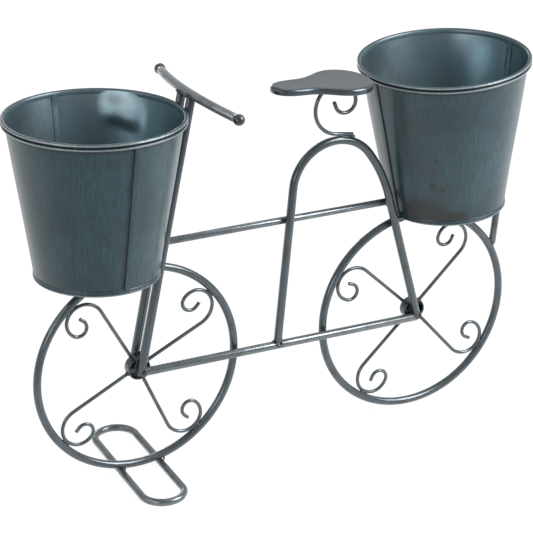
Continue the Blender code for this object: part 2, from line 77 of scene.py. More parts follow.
def enamel(name, paint, worn, glaze, steel, thin, grain, streak, brushed, patch, glaze_share, roughness,
           lacquer, coat):
    """Enamel on steel under a clear lacquer: a paint and its worn shade, with a dark glaze brushed on in
    streaks. grain, streak and patch are the sizes of the orange peel, brush marks and stains in metres.
    thin is how much of the steel's own shine comes through all over, most where the coat is worn."""
    material = bpy.data.materials.new(name)
    material.use_nodes = True
    tree = material.node_tree
    shader = tree.nodes["Principled BSDF"]
    place = add(tree, "ShaderNodeTexCoord").outputs["Object"]
    wrap, dirt, rub, bare = [
        add(tree, "ShaderNodeAttribute", attribute_name=mark).outputs[socket]
        for mark, socket in (("wrap", "Vector"), ("dirt", "Fac"), ("rub", "Fac"), ("bare", "Fac"))]

    # Brush marks run along the piece, with smears about twice as broad, and stains and peel lie anyhow.
    across, around, along = streak
    drawn = add(tree, "ShaderNodeMapping", {0: wrap, "Scale": (1 / across, 1 / around, 1 / along)})
    broad = add(tree, "ShaderNodeMapping", {
        0: wrap, "Location": (3, 7, 5), "Scale": (0.5 / across, 0.5 / around, 0.7 / along)})
    marks, smear, stains, peel = [
        add(tree, "ShaderNodeTexNoise", {"Vector": at, "Scale": scale, "Detail": detail, "Roughness": rough})
        for at, scale, detail, rough in (
            (drawn, 1, 4, 0.6), (broad, 1, 5, 0.65), (place, 1 / patch, 3, 0.6), (place, 1 / grain, 2, 0.5))]

    # The paint is paler where it is stained and brushed. Where the wear mark is stored it turns to pale shiny
    # steel: partly real wear, partly a painted highlight.
    fine = add(tree, "ShaderNodeMapRange", {0: marks, 1: 0.36, 2: 0.66})
    fine = add(tree, "ShaderNodeMath", {0: fine, 1: brushed}, operation="MULTIPLY")
    spots = add(tree, "ShaderNodeMapRange", {0: stains, 1: 0.4, 2: 0.64})
    pale = add(tree, "ShaderNodeMath", {0: spots, 1: 0.5, 2: fine}, operation="MULTIPLY_ADD", use_clamp=True)
    steely = add(tree, "ShaderNodeMapRange", {0: pale, 3: thin * 0.75, 4: thin})
    steely = add(tree, "ShaderNodeMath", {0: steely, 1: bare}, operation="MAXIMUM")
    worn_and_highlit = add(tree, "ShaderNodeMapRange", {0: marks, 1: 0.3, 2: 0.6, 3: 0.75, 4: 1.0})
    worn_and_highlit = add(tree, "ShaderNodeMath", {0: rub, 1: worn_and_highlit}, operation="MULTIPLY")
    shine = add(tree, "ShaderNodeMath", {0: steely, 1: worn_and_highlit}, operation="MAXIMUM")

    # The glaze stays in the smears, least where the coat is thin. A stored darkening adds specks of it:
    # stains, dark welds, and painted shade in grooves, creases and under the rim.
    dark = add(tree, "ShaderNodeMath", {0: stains, 1: smear}, operation="MULTIPLY")
    dark = add(tree, "ShaderNodeMapRange", {0: dark, 1: 0.19, 2: 0.4, 4: glaze_share},
               interpolation_type="SMOOTHSTEP")
    left_on = add(tree, "ShaderNodeMapRange", {0: bare, 3: 1.0, 4: 0.05})
    dark = add(tree, "ShaderNodeMath", {0: dark, 1: left_on}, operation="MULTIPLY")
    speck = add(tree, "ShaderNodeMapRange", {0: marks, 1: 0.25, 2: 0.7, 3: 0.45, 4: 1.3})
    dark = add(tree, "ShaderNodeMath", {0: dirt, 1: speck, 2: dark}, operation="MULTIPLY_ADD", use_clamp=True)
    colour = linear(paint)
    # The pale steel #c4cdd1 goes where the wear mark is: worn paint, and also a painted highlight on rims and
    # level bars.
    for share, over in ((pale, worn), (steely, steel), (worn_and_highlit, "#c4cdd1"), (dark, glaze)):
        layers = {0: share, 6: colour, 7: linear(over)}
        colour = add(tree, "ShaderNodeMix", layers, data_type="RGBA").outputs[2]
    metal = add(tree, "ShaderNodeMath", {0: shine, 1: dark}, operation="SUBTRACT", use_clamp=True)

    # Brush marks and glaze make the gloss uneven, and marks and peel together make it ripple.
    gloss = add(tree, "ShaderNodeMapRange", {
        0: marks, 1: 0.3, 2: 0.7, 3: roughness - 0.03, 4: roughness + 0.05})
    gloss = add(tree, "ShaderNodeMath", {0: dark, 1: 0.15, 2: gloss}, operation="MULTIPLY_ADD")
    rise = add(tree, "ShaderNodeMath", {0: marks, 1: 0.8, 2: peel}, operation="MULTIPLY_ADD")
    bump = add(tree, "ShaderNodeBump", {"Strength": 0.6, "Distance": 0.000008, "Height": rise})
    tree.links.new(colour, shader.inputs["Base Color"])
    for socket, node in (("Metallic", metal), ("Roughness", gloss), ("Normal", bump)):
        tree.links.new(node.outputs[0], shader.inputs[socket])
    shader.inputs["Coat Weight"].default_value = coat
    shader.inputs["Coat Roughness"].default_value = lacquer
    return material


def new_tree(name, gives, takes):
    """A geometry tree that gives one shape, and the outputs that carry what it takes."""
    tree = bpy.data.node_groups.new(name, "GeometryNodeTree")
    for socket, kind in takes.items():
        tree.interface.new_socket(socket, in_out="INPUT", socket_type="NodeSocket" + kind)
    tree.interface.new_socket(gives, in_out="OUTPUT", socket_type="NodeSocketGeometry")
    return tree, add(tree, "NodeGroupInput").outputs


def end_tree(tree, shape, finish):
    """Gives the tree's shape its finish and passes it on."""
    real = add(tree, "GeometryNodeRealizeInstances", {0: shape})
    done = add(tree, "GeometryNodeSetMaterial", {0: real, "Material": finish})
    add(tree, "NodeGroupOutput", {0: done})
    return tree


def run_tree(thing, tree, values):
    """Runs a tree on a piece, with values by the names of what the tree takes."""
    modifier = thing.modifiers.new(tree.name, "NODES")
    modifier.node_group = tree
    for item in tree.interface.items_tree:
        if item.in_out == "INPUT" and item.name in values:
            modifier[item.identifier] = values[item.name]


def put_in(name, data):
    """A new object in the scene, at the origin."""
    thing = bpy.data.objects.new(name, data)
    bpy.context.scene.collection.objects.link(thing)
    return thing


def smooth_piece(name, mesh, crease_deg):
    """A mesh as a smooth piece, creased where its faces turn by more than the angle."""
    mesh.shade_smooth()
    mesh.set_sharp_from_angle(angle=radians(crease_deg))
    return put_in(name, mesh)


def as_plain_mesh(thing, crease_deg=40.0):
    """Turns a piece with modifiers, or a curve, into a plain mesh of the same name."""
    bpy.context.view_layer.update()
    graph = bpy.context.evaluated_depsgraph_get()
    mesh = bpy.data.meshes.new_from_object(thing.evaluated_get(graph), preserve_all_data_layers=True,
                                           depsgraph=graph)
    name = thing.name
    bpy.data.objects.remove(thing)
    mesh.name = name
    return smooth_piece(name, mesh, crease_deg)


def store(piece, mark, values):
    """Keeps a number on each point of a piece, or one number on all of them."""
    if isinstance(values, float):
        values = [values] * len(piece.data.vertices)
    piece.data.attributes.new(mark, "FLOAT", "POINT").data.foreach_set("value", values)


def bar_sweep():
    """Sweeps a round section along a path. wrap says where a point lies around and along the bar."""
    tree, given = new_tree("bent_bar", "Bar", {"Path": "Geometry", "Bar width": "Float", "Sides": "Int",
                                               "Finish": "Material"})
    half = add(tree, "ShaderNodeMath", {0: given["Bar width"], 1: 0.5}, operation="MULTIPLY")
    ring = add(tree, "GeometryNodeCurvePrimitiveCircle", {"Resolution": given["Sides"], "Radius": half})
    section = add(tree, "GeometryNodeCaptureAttribute", {0: ring}, domain="POINT")
    section.capture_items.new("VECTOR", "spot")
    tree.links.new(add(tree, "GeometryNodeInputPosition").outputs[0], section.inputs["spot"])
    path = add(tree, "GeometryNodeCaptureAttribute", {0: given["Path"]}, domain="POINT")
    path.capture_items.new("FLOAT", "run")
    tree.links.new(add(tree, "GeometryNodeSplineParameter").outputs["Length"], path.inputs["run"])
    taper = add(tree, "GeometryNodeInputRadius")
    swept = add(tree, "GeometryNodeCurveToMesh", {
        "Curve": path, "Profile Curve": section, "Scale": taper, "Fill Caps": True})
    along = add(tree, "ShaderNodeCombineXYZ", {2: path.outputs["run"]})
    wrap = add(tree, "ShaderNodeVectorMath", {0: section.outputs["spot"], 1: along}, operation="ADD")
    stored = add(tree, "GeometryNodeStoreNamedAttribute", {0: swept, "Name": "wrap", "Value": wrap},
                 data_type="FLOAT_VECTOR", domain="POINT")
    return end_tree(tree, stored, given["Finish"])


def bent_bar(name, points, width, sides=20, closed=False, rub=0.14):
    """A painted bar along the points, its cut ends filed a little round. Its last argument sets how much of
    its paint turns pale shiny steel: partly real wear, and set per bar as painted highlight and painted
    shade.
    """
    points = [Vector(point) for point in points]
    tapers = [1.0] * len(points)
    if not closed:
        filed, halfway, end_taper, half_taper = width * 0.07, 0.35, 0.84, 0.95
        first = (points[1] - points[0]).normalized() * filed
        last = (points[-2] - points[-1]).normalized() * filed
        points = [points[0], points[0] + first * halfway, points[0] + first, *points[1:-1],
                  points[-1] + last, points[-1] + last * halfway, points[-1]]
        tapers = [end_taper, half_taper, *tapers, half_taper, end_taper]
    curve = bpy.data.curves.new(name, "CURVE")
    curve.dimensions = "3D"
    spline = curve.splines.new("POLY")
    spline.points.add(len(points) - 1)
    for corner, point, taper in zip(spline.points, points, tapers):
        corner.co = (*point, 1)
        corner.radius = taper
    spline.use_cyclic_u = closed
    thing = put_in(name, curve)
    run_tree(thing, bar_tree, {"Bar width": width, "Sides": sides, "Finish": frame_paint})
    bar = as_plain_mesh(thing)
    store(bar, "rub", rub)
    return bar


def settle(piece, *replaced, slot="frame_paint"):
    """Joins a finished piece to the planter, in place of the CAD nodes named."""
    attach(piece, "root")
    if replaced:
        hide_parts(*replaced)


def circle(centre, radius, start_deg, end_deg, steps):
    """Points on an upright circle across Y, from +X up towards +Z."""
    angles = [radians(start_deg + (end_deg - start_deg) * i / steps) for i in range(steps + 1)]
    return [centre + Vector((radius * cos(a), 0, radius * sin(a))) for a in angles]


frame_paint = enamel("brushed_enamel_on_steel_rod", "#0f1e2a", "#33454e", "#0c1012", "#445057", 0.75,
                     grain=0.0011, streak=(0.0016, 0.0016, 0.012), brushed=0.5, patch=0.014, glaze_share=0.55,
                     roughness=0.22, lacquer=0.12, coat=0.6)
bar_tree = bar_sweep()
ring_radius = 0.087
ring_rod = 0.0066
ring_outside = ring_radius + ring_rod / 2
axles = {}
for end in ("front", "rear"):
    low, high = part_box(end + "_wheel_ring")
    axles[end] = (low + high) / 2
    rim = circle(axles[end], ring_radius, 110, 470, 144)[:-1]
    settle(bent_bar(end + "_ring", rim, ring_rod, closed=True, rub=0.1), end + "_wheel_ring")


# Hubs: a short cup turned from steel bar, its open end towards the near side, held between the fork
# legs in front and welded to the arch's foot behind.
def shaped_piece(name, shape, finish, crease_deg=40.0):
    """A smooth piece from a bmesh, in its finish."""
    mesh = bpy.data.meshes.new(name)
    shape.to_mesh(mesh)
    shape.free()
    mesh.materials.append(finish)
    return smooth_piece(name, mesh, crease_deg)


def skin(shape, rows):
    """Lays faces between rows of corners, each row shut into a round. On an axis there is none to lay."""
    for here, beside in zip(rows, rows[1:]):
        for j in range(len(here)):
            k = (j + 1) % len(here)
            if here[j].co != beside[j].co or here[k].co != beside[k].co:
                shape.faces.new((here[j], beside[j], beside[k], here[k]))


def lathed(name, profile, steps, finish, move, waves=None):
    """A turned piece from a closed profile of (radius, height) points that run round it clockwise.
    waves(angle, height) says how far its surface stands off the round."""
    shape = bmesh.new()
    wrap = shape.verts.layers.float_vector.new("wrap")
    columns = []
    for i in range(steps):
        angle = tau * i / steps
        turn = Vector((cos(angle), sin(angle), 0))
        column = []
        for radius, height in profile:
            push = waves(angle, height) if waves else 0.0
            vert = shape.verts.new(turn * (radius + push) + Vector((0, 0, height)))
            vert[wrap] = turn * radius + Vector((0, 0, height))
            column.append(vert)
        columns.append(column)
    skin(shape, columns + columns[:1])
    bmesh.ops.remove_doubles(shape, verts=shape.verts, dist=1e-7)
    bmesh.ops.recalc_face_normals(shape, faces=shape.faces)
    bmesh.ops.transform(shape, matrix=move, verts=shape.verts)
    return shaped_piece(name, shape, finish)


def rounded(points, radius, steps=4):
    """A closed outline of (x, y) points with its corners rounded."""
    made = []
    for i, point in enumerate(points):
        here = Vector(point)
        before = Vector(points[i - 1]) - here
        after = Vector(points[(i + 1) % len(points)]) - here
        size = min(radius, before.length / 2.1, after.length / 2.1)
        a = here + before.normalized() * size
        b = here + after.normalized() * size
        for t in [step / steps for step in range(steps + 1)]:
            made.append(tuple(a * (1 - t) ** 2 + here * 2 * t * (1 - t) + b * t ** 2))
    return made


hub_radius = 0.0097
hub_half = 0.0042
hub_bore = hub_radius - 0.0014
hub_floor = 0.0022 - hub_half
hub_edge = 0.0005
hub_profile = [(0, -hub_half)] + rounded([
    (hub_radius / 3, -hub_half), (hub_radius, -hub_half), (hub_radius, hub_half),
    (hub_bore, hub_half), (hub_bore, hub_floor), (0.0015, hub_floor)], hub_edge) + [(0, hub_floor)]
for end in ("front", "rear"):
    across = Matrix.Translation(axles[end]) @ Matrix.Rotation(pi / 2, 4, "X")
    settle(lathed(end + "_hub", hub_profile, 64, frame_paint, across), end + "_hub_cup")


# Spokes: four lengths of wire to a wheel, each straight out from the hub and then curled into a
# scroll that touches the ring. One is bent, and the tree lays its copies at their angles.
def wire_path(first_run, radii, turns_deg, last_run, step_deg):
    """Points of a wire in a plane, that sets out along +X and bends to its left."""
    spot = Vector((first_run, 0))
    points = [Vector((0, 0)), spot]
    heading = 0.0
    for radius, turn_deg in zip(radii, turns_deg):
        steps = round(turn_deg / step_deg)
        bend = radians(turn_deg) / steps
        for _ in range(steps):
            chord = 2 * radius * sin(bend / 2)
            spot = spot + chord * Vector((cos(heading + bend / 2), sin(heading + bend / 2)))
            heading += bend
            points.append(spot)
    points.append(spot + last_run * Vector((cos(heading), sin(heading))))
    return points


def spoke_layout():
    """Puts copies of a bent wire round a hub, one at each point, turned by the point's angle."""
    tree, given = new_tree("spokes_round_hub", "Spokes", {"Places": "Geometry", "Wire": "Object",
                                                          "Finish": "Material"})
    wire = add(tree, "GeometryNodeObjectInfo", {"Object": given["Wire"]}).outputs["Geometry"]
    angle = add(tree, "GeometryNodeInputNamedAttribute", {"Name": "angle"}, data_type="FLOAT")
    turn = add(tree, "FunctionNodeAxisAngleToRotation", {"Axis": (0, -1, 0), "Angle": angle})
    laid = add(tree, "GeometryNodeInstanceOnPoints", {
        "Points": given["Places"], "Instance": wire, "Rotation": turn})
    return end_tree(tree, laid, given["Finish"])


spoke_wire = 0.003
curl_radii = (0.01705, 0.015035, 0.013485, 0.00713)
curl_turns_deg = (55, 78, 75, 175)
curl_tail = 0.004
spoke_angles_deg = {"front": (24.5, 118.2, 205.4, 293.6), "rear": (42.9, 135.6, 222.4, 310.6)}
curl_reach = ring_radius - ring_rod / 2 - spoke_wire / 2
shortest, longest = 0.0, curl_reach
step_deg = 5.0
while longest - shortest > 1e-6:
    run = (shortest + longest) / 2
    spoke_path = wire_path(run, curl_radii, curl_turns_deg, curl_tail, step_deg)
    if max(hypot(hub_radius + x, y) for x, y in spoke_path) < curl_reach:
        shortest = run
    else:
        longest = run
touch = max(spoke_path, key=lambda point: hypot(hub_radius + point[0], point[1]))
touch_deg = degrees(atan2(touch[1], hub_radius + touch[0]))
wire = bent_bar("spoke_wire", [(hub_radius + x, 0, y) for x, y in spoke_path], spoke_wire, 14)
spoke_tree = spoke_layout()
for end, angles_deg in spoke_angles_deg.items():
    mesh = bpy.data.meshes.new(end + "_spokes")
    mesh.from_pydata([axles[end]] * len(angles_deg), [], [])
    spokes = put_in(end + "_spokes", mesh)
    store(spokes, "angle", list(map(radians, angles_deg)))
    run_tree(spokes, spoke_tree, {"Wire": wire, "Finish": frame_paint})
    settle(as_plain_mesh(spokes), *[f"{end}_spoke_{number}" for number in (1, 2, 3, 4)])
bpy.data.objects.remove(wire)


# Fork: two straight steel tubes astride the front hub, raked back. They are welded to the hub, and
# their tops are filed to fit under the handlebar.
fork_tube = 0.007
fork_half_gap = 0.008
fork_slope = tan(radians(12.12))
fork_foot = 0.004
fork_sink = 0.22
fork_fill = 0.0003
bar_height = 0.227
bar_tube = 0.0072
axle = axles["front"]
for side, sign in (("left", -1), ("right", 1)):
    top = bar_height - bar_tube * fork_sink
    leg = [axle + Vector((fork_slope * z, sign * (fork_half_gap + spread), z))
           for z, spread in ((-fork_foot, -0.0002), (top, 0.0003))]
    # Little of the pale wear mark on the upright fork legs, so that they are painted darker: painted shade.
    settle(bent_bar("fork_" + side, leg, fork_tube + fork_fill, 24, rub=0.06), "fork_leg_" + side)

# Handlebar: one steel tube bent back and down a little towards both ends. It lies across the fork's
# tops and is welded there.
bar_half_length = 0.06
bar_sweep_back = 0.0105
bar_droop = 0.004
bar_yaw, bar_roll = radians(4.67), radians(2.58)
bar_seat = (Matrix.Translation(axle + Vector((fork_slope * bar_height, 0, bar_height)))
            @ Matrix.Rotation(bar_yaw, 4, "Z") @ Matrix.Rotation(bar_roll, 4, "X"))
inside_balls = 0.95
bar_points = [bar_seat @ Vector((bar_sweep_back * s * s, bar_half_length * s, -bar_droop * s * s))
              for s in [(i / 16 - 1) * inside_balls for i in range(33)]]
# Much of the pale wear mark on the handlebar: a painted highlight, besides its wear.
settle(bent_bar("handlebar_tube", bar_points, bar_tube, 24, rub=0.45), "handlebar")

# Grips' ends: a steel ball with a narrow collar behind it, turned in one piece and welded on each
# end of the handlebar.
ball_radius = 0.0046
collar_radius, collar_end = 0.0033, -0.0042
ball_arc = [(ball_radius * sin(a), ball_radius * cos(a)) for a in [radians(4.2 * i) for i in range(1, 34)]]
ball_profile = [(0, ball_radius), *ball_arc, (collar_radius, collar_end), (0, collar_end)]
for side, sign in (("left", -1), ("right", 1)):
    outward = Vector((2 * bar_sweep_back, sign * bar_half_length, -2 * bar_droop)).to_track_quat("Z", "Y")
    spot = Vector((bar_sweep_back, sign * bar_half_length, -bar_droop))
    ball = lathed("ball_" + side, ball_profile, 40, frame_paint,
                  bar_seat @ Matrix.Translation(spot) @ outward.to_matrix().to_4x4())
    settle(ball, "handlebar_ball_" + side)


# Lower tube: straight tube from the left fork leg to the arch's rear foot, just below both axles.
# Top rod: thinner rod between the fork legs and behind the arch, welded to the legs' inner sides.
rear_axle = axles["rear"]
wheelbase = rear_axle.x - axle.x
rear_rise = rear_axle.z - axle.z
side_plane = -fork_half_gap
tube_front_z, tube_rear_z = -0.0015, rear_rise - 0.0045


def lower_tube_z(x):
    """The height of the lower tube's middle over the front axle."""
    return tube_front_z + (tube_rear_z - tube_front_z) * x / wheelbase


def on_frame(x, y, z):
    """A place measured from the front axle."""
    return axle + Vector((x, y, z))


tube_start = fork_slope * lower_tube_z(0) + fork_tube * 0.4
tube_ends = [on_frame(x, side_plane, lower_tube_z(x)) for x in (tube_start, wheelbase)]
# Much of the pale wear mark on the lower tube: a painted highlight, besides its wear.
settle(bent_bar("lower_rail", tube_ends, fork_tube, 24, rub=0.27), "lower_tube")

# Arch: tube bent round into a narrow arch, both its feet welded on the lower tube. It carries the
# saddle, and its rear leg passes the rear hub.
arch_radius = 0.0386
shoulder_radius = 0.126
arch_centre_z = rear_rise + 0.1317
rear_lean_deg, shoulder_deg, front_lean_deg = 14.63, 35.6, 6.05
rear_lean, shoulder, front_lean = map(radians, (rear_lean_deg, shoulder_deg, front_lean_deg))
foot_sink = 0.001
arch_shift = shoulder_radius - arch_radius
rear_foot_z = lower_tube_z(wheelbase) + fork_tube / 2
rear_foot_x = wheelbase - 0.0003
leg_top_z = arch_centre_z - arch_shift * sin(shoulder) + shoulder_radius * sin(rear_lean)
leg_top_x = rear_foot_x - (leg_top_z - rear_foot_z) * tan(rear_lean)
arch_centre_x = leg_top_x - shoulder_radius * cos(rear_lean) + arch_shift * cos(shoulder)
crown = on_frame(arch_centre_x, side_plane, arch_centre_z)
shoulder_centre = crown - arch_shift * Vector((cos(shoulder), 0, sin(shoulder)))
arch_points = [on_frame(rear_foot_x, side_plane, rear_foot_z - foot_sink)]
arch_points += circle(shoulder_centre, shoulder_radius, rear_lean_deg, shoulder_deg, 8)[:-1]
arch_points += circle(crown, arch_radius, shoulder_deg, 180 - front_lean_deg, 44)
front_foot_x = arch_points[-1].x - axle.x
for _ in range(4):
    drop = arch_points[-1].z - axle.z - lower_tube_z(front_foot_x)
    front_foot_x = arch_points[-1].x - axle.x - drop * tan(front_lean)
arch_front_foot = on_frame(front_foot_x, side_plane, lower_tube_z(front_foot_x) + fork_tube / 2 - foot_sink)
arch_points.append(arch_front_foot)
# Little of the pale wear mark on the arch, so that its legs are painted darker: painted shade.
settle(bent_bar("arch_tube", arch_points, fork_tube, 24, rub=0.08), "saddle_arch")

top_rod = 0.006
top_rod_y = side_plane + fork_tube / 2 + top_rod / 2
top_front_z, top_rear_z = 0.1053, rear_rise + 0.1044
top_front = on_frame(fork_slope * top_front_z, top_rod_y, top_front_z)
top_rear_share = (top_rear_z - rear_foot_z) / (leg_top_z - rear_foot_z)
top_rear = on_frame(rear_foot_x + (leg_top_x - rear_foot_x) * top_rear_share, top_rod_y, top_rear_z)
# Much of the pale wear mark on the top rod: a painted highlight, besides its wear.
settle(bent_bar("upper_rail", [top_front, top_rear], top_rod, 20, rub=0.27), "top_rod")


# Scroll: steel wire bent into an S, welded with its foot lying on the arch's crown and its top
# under the saddle.
scroll_wire = 0.0032
scroll_foot = 0.0165
scroll_radii = (0.0222, 0.017316, 0.009324)
scroll_turns_deg = (134.6, 125, 160)
scroll_seat = radians(79.5)
off_crown = arch_radius + fork_tube / 2 + scroll_wire / 2
scroll_contact = crown + off_crown * Vector((cos(scroll_seat), 0, sin(scroll_seat)))
scroll_turn = Matrix.Rotation(pi / 2 - scroll_seat, 3, "Y")
scroll_end = 0.005
scroll_points = [scroll_contact + scroll_turn @ Vector((scroll_foot / 2 - x, 0, y))
                 for x, y in wire_path(scroll_foot, scroll_radii, scroll_turns_deg, scroll_end, step_deg)]
settle(bent_bar("scroll_wire", scroll_points, scroll_wire, 16), "saddle_scroll")

# Saddle: pressed from 1 mm steel sheet, pear-shaped, a little hollow on top, its edge turned down.
# It is welded on the scroll.
saddle_outline = (
    (0, 0), (0.015, 0.2), (0.06, 0.36), (0.13, 0.46), (0.22, 0.5), (0.33, 0.515),
    (0.41, 0.58), (0.49, 0.71), (0.57, 0.87), (0.65, 0.975), (0.72, 1), (0.79, 0.965),
    (0.86, 0.86), (0.92, 0.69), (0.965, 0.46), (0.99, 0.22), (1, 0))
saddle_nose, saddle_tail, saddle_half_width = 0.0587, 0.0296, 0.0269
saddle_skirt = 0.0053
saddle_sheet = 0.001


def smooth_outline(corners, count):
    """Evenly spaced points on a smooth closed curve through the corners."""
    dense = []
    n = len(corners)
    for i in range(n):
        p0, p1, p2, p3 = (Vector(corners[(i + k - 1) % n]) for k in range(4))
        for t in [step / 12 for step in range(12)]:
            dense.append(0.5 * (2 * p1 + (p2 - p0) * t + (2 * p0 - 5 * p1 + 4 * p2 - p3) * t ** 2
                                + (3 * p1 - p0 - 3 * p2 + p3) * t ** 3))
    lengths = [0.0]
    for a, b in zip(dense, dense[1:] + dense[:1]):
        lengths.append(lengths[-1] + (b - a).length)
    made, j = [], 0
    for i in range(count):
        want = lengths[-1] * i / count
        while lengths[j + 1] < want:
            j += 1
        share = (want - lengths[j]) / (lengths[j + 1] - lengths[j])
        made.append(dense[j].lerp(dense[(j + 1) % len(dense)], share))
    return made


def inset(outline, depth):
    """The outline moved inwards, its points run anticlockwise."""
    moved = []
    for i, point in enumerate(outline):
        run = outline[(i + 1) % len(outline)] - outline[i - 1]
        moved.append(point + Vector((-run.y, run.x)).normalized() * depth)
    return moved


half = [((saddle_nose + saddle_tail) * along - saddle_nose, -saddle_half_width * side)
        for along, side in saddle_outline]
outline = smooth_outline(half + [(x, -y) for x, y in half[-2:0:-1]], 160)
bend = 0.0026
flat = bend + 0.0008
dish = 0.0052
lip = 0.0003
hollow = bend - saddle_sheet
edge = [
    (dish, -0.0001), (flat, -0.00003),
    *[(bend * (1 - sin(a)), bend * (cos(a) - 1)) for a in [radians(11.25 * i) for i in range(9)]],
    (0, -0.0035), (0, lip - saddle_skirt), (lip, -saddle_skirt), (saddle_sheet - lip, -saddle_skirt),
    (saddle_sheet, lip - saddle_skirt), (saddle_sheet, -0.0032),
    *[(bend - hollow * cos(a), hollow * sin(a) - bend) for a in [radians(15 * i) for i in range(7)]],
    (flat, -saddle_sheet - 0.00003), (dish, -saddle_sheet - 0.0001)]
pressing = bmesh.new()
rows = [[pressing.verts.new((*point, height)) for point in inset(outline, depth)] for depth, height in edge]
skin(pressing, rows)
middles = [pressing.faces.new(rows[0]), pressing.faces.new(rows[-1][::-1])]
bmesh.ops.triangulate(pressing, faces=middles)
bmesh.ops.recalc_face_normals(pressing, faces=pressing.faces)
saddle_tilt = radians(3.9)
scroll_top = max(scroll_points, key=lambda point: point.z)
saddle_place = Vector((scroll_top.x, axle.y + side_plane,
                       scroll_top.z + (scroll_wire / 2 + saddle_sheet + 0.0003) / cos(saddle_tilt)))
saddle_matrix = Matrix.Translation(saddle_place) @ Matrix.Rotation(saddle_tilt, 4, "Y")
wrap = pressing.verts.layers.float_vector.new("wrap")
for vert in pressing.verts:
    vert[wrap] = Vector((vert.co.y, vert.co.z, vert.co.x))
bmesh.ops.transform(pressing, matrix=saddle_matrix, verts=pressing.verts)
saddle = shaped_piece("saddle_pressing", pressing, frame_paint, 60)
# Very little of the pale wear mark on the saddle, so that its top is painted darker: painted shade.
store(saddle, "rub", 0.04)
settle(saddle, "saddle_plate")


# Foot loop: steel rod bent into a long closed loop, the planter's stand. It lies across under the
# front wheel and is welded to its ring.
loop_low, loop_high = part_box("foot_loop")
loop_rod = 0.006
loop_radius = 0.0176
loop_half_run = 0.0505
loop_turn = Matrix.Rotation(-radians(2.64), 3, "Z")
loop_middle = (loop_low + loop_high) / 2
loop_points = [
    loop_middle + loop_turn @ Vector((loop_radius * cos(a), sign * loop_half_run + loop_radius * sin(a), 0))
    for sign in (1, -1) for a in [sign * pi / 2 - pi / 2 + pi * i / 24 for i in range(25)]]
# Much of the pale wear mark on the foot loop: a painted highlight, besides its wear.
settle(bent_bar("foot_loop_rod", loop_points, loop_rod, closed=True, rub=0.25), "foot_loop")


# Pots: two alike, each of two half cones of thin sheet joined by folded lock seams, with the top
# edge rolled over into a double bead, and a pressed base whose channel grips the wall's lower edge.
# The same enamel as the frame's, with the glaze brushed downwards, so that fine streaks run down it.
pot_height = 0.1298
pot_top_radius = 0.0695
pot_foot_radius = 0.0488
pot_sheet = 0.0008
pot_slope = (pot_top_radius - pot_foot_radius) / pot_height
rim_radius = 0.0717
rim_depth = 0.0056
hem_radius = 0.05
floor_height = 0.0038
pot_paint = enamel("brushed_enamel_on_sheet_steel", "#062b35", "#2a5c66", "#14191b", "#8ea1a8", 0.05,
                   grain=0.0016, streak=(0.0011, 0.0011, 0.03), brushed=0.22, patch=0.045, glaze_share=0.5,
                   roughness=0.3, lacquer=0.2, coat=0.25)


def ease(x):
    """A smooth step from 0 to 1."""
    x = min(max(x, 0.0), 1.0)
    return x * x * (3 - 2 * x)


def band(value, middle, half_width):
    """1 in the middle of a band, and eased to 0 at its edges."""
    return ease(1 - abs(value - middle) / half_width)


def turned_past(angle, deg):
    """How far an angle lies past a direction, at most half a turn either way."""
    return (angle - radians(deg) + pi) % tau - pi


def wall_push(angle, height, seams_deg, dents=()):
    """How far a wall stands off a true cone: flat beside each seam, so that the seam is a ridge, and
    unevenly rolled elsewhere. A dent has its angle, height, depth, half width and height upwards."""
    steady = 0.012
    free = ease(height / steady) * ease((pot_height - height) / steady)
    radius = pot_foot_radius + pot_slope * height
    push = 0.0
    flat = radians(9)
    for seam_deg in seams_deg:
        off = abs(turned_past(angle, seam_deg))
        if off < flat:
            push = radius / cos(flat - off) - radius
    roll = 0.00016 * sin(3 * angle + 0.6) * sin(height * 60 + angle)
    roll += 0.00009 * sin(7 * angle + 25 * height + 1.9)
    for dent_deg, dent_height, depth, wide, tall in dents:
        off = turned_past(angle, dent_deg) * radius
        lift = height - dent_height - 0.003 * sin(off / wide * 1.5)
        rise = max(1 - lift / tall, 0.0) if lift > 0 else ease(1 + lift / (tall * 0.5))
        roll -= depth * rise * ease((1 - abs(off) / wide) / 0.75)
    return (push + roll) * free


def finish_pot(piece, end, nodes, seams_deg, marks, smudges=()):
    """Stores where a pot piece is darkened by glaze, stains and painted shade, where its paint is worn pale
    with a painted highlight, and where the coat is thin, from marks(metres beyond the wall's outer face,
    height, metres past the nearest seam). A smudge has its angle, height, half width, half height and
    darkness. Then joins the piece to the planter."""
    back = seats[end].inverted()
    found = []
    for vert in piece.data.vertices:
        spot = back @ vert.co
        angle = atan2(spot.y, spot.x)
        radius = hypot(spot.x, spot.y)
        past = min((turned_past(angle, seam_deg) * radius for seam_deg in seams_deg), key=abs)
        beyond = radius - pot_foot_radius - pot_slope * spot.z
        dirt, rub, bare = marks(beyond, spot.z, past)
        for smudge_deg, height, wide, tall, darkness in smudges:
            off = turned_past(angle, smudge_deg) * radius / wide
            if beyond > -pot_sheet / 2:
                dirt += darkness * ease(1.2 - hypot(off, (spot.z - height) / tall))
        found.append((min(dirt, 1.0), rub, bare))
    for mark, values in zip(("dirt", "rub", "bare"), zip(*found)):
        store(piece, mark, values)
    settle(piece, *[f"{end}_pot_{node}" for node in nodes], slot="pot_paint")


